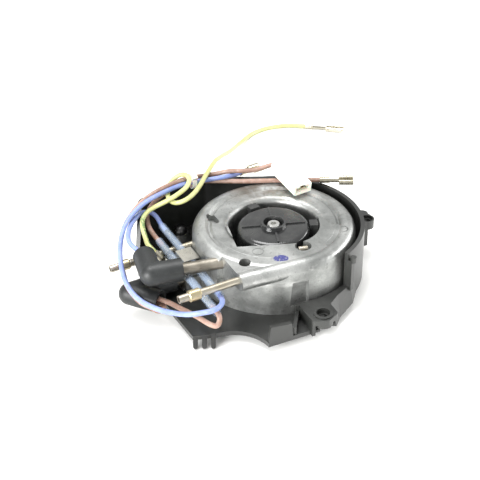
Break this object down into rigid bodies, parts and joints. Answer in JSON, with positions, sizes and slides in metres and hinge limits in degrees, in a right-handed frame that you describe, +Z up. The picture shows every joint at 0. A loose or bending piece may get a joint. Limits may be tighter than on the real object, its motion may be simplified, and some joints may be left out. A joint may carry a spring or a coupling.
{
  "type": "flow heater",
  "caption": "Ring-shaped die-cast water heater block held in a moulded carrier shell, with its water tubes, element ends, fused sleeves and wiring leads.",
  "frame": {"origin": "centre of the locating spigot's underside, on the ring's axis", "axes": "+Z up along the ring's axis, -Y towards the side the water tube and the front lug are on, X completing a right-handed frame"},
  "size_m": [0.1423, 0.241, 0.0451],
  "materials": {
    "blackened_steel": "dark oxide",
    "blue_insulation": "soft silicone insulation",
    "boot_rubber": "matt grey-black silicone",
    "brass": "pressed collar",
    "brown_insulation": "soft silicone insulation, dusty",
    "cap_plastic": "black, polished",
    "carrier_plastic": "black, fine moulded grain",
    "cast_aluminium": "as cast, mottled, with bright smears",
    "earth_insulation": "pale yellow with a green stripe",
    "fuse_metal": "plated",
    "insulator": "white bead",
    "nylon": "natural white nylon",
    "sheath_steel": "nickel alloy, heat darkened",
    "sleeve_silicone": "translucent milky blue",
    "stainless": "drawn tube with a straw tint",
    "tie_nylon": "natural nylon strap",
    "tin_brass": "tin plated",
    "zinc_steel": "zinc plated"
  },
  "bodies": {
    "root": {"blue_jumper": "blue_insulation", "blue_lead": "blue_insulation", "blue_receptacle": "tin_brass", "brown_jumper": "brown_insulation", "brown_lead": "brown_insulation", "brown_receptacle": "tin_brass", "cable_tie": "tie_nylon", "carrier_shell": "carrier_plastic", "centre_screw": "zinc_steel", "clamp_cap": "cap_plastic", "connector_housing": "nylon", "earth_lead": "earth_insulation", "earth_receptacle": "tin_brass", "earth_screw": "zinc_steel", "earth_terminal": "tin_brass", "front_fuse": "fuse_metal", "front_sleeve": "sleeve_silicone", "front_splice_in": "tin_brass", "front_splice_out": "tin_brass", "fuse_clip": "fuse_metal", "fuse_lead": "brown_insulation", "heater_block": "cast_aluminium", "housed_receptacle": "tin_brass", "inlet_collar": "brass", "inlet_tube": "stainless", "lower_boot": "boot_rubber", "lower_insulator": "insulator", "lower_pin": "zinc_steel", "lower_sheath": "sheath_steel", "lower_terminal": "tin_brass", "outlet_collar": "brass", "outlet_tube": "stainless", "post_screw": "blackened_steel", "rear_fuse": "fuse_metal", "rear_sleeve": "sleeve_silicone", "rear_splice_in": "tin_brass", "rear_splice_out": "tin_brass", "upper_boot": "boot_rubber", "upper_insulator": "insulator", "upper_pin": "zinc_steel", "upper_sheath": "sheath_steel", "upper_terminal": "tin_brass", "window_tube": "stainless"}
  },
  "joints": []
}
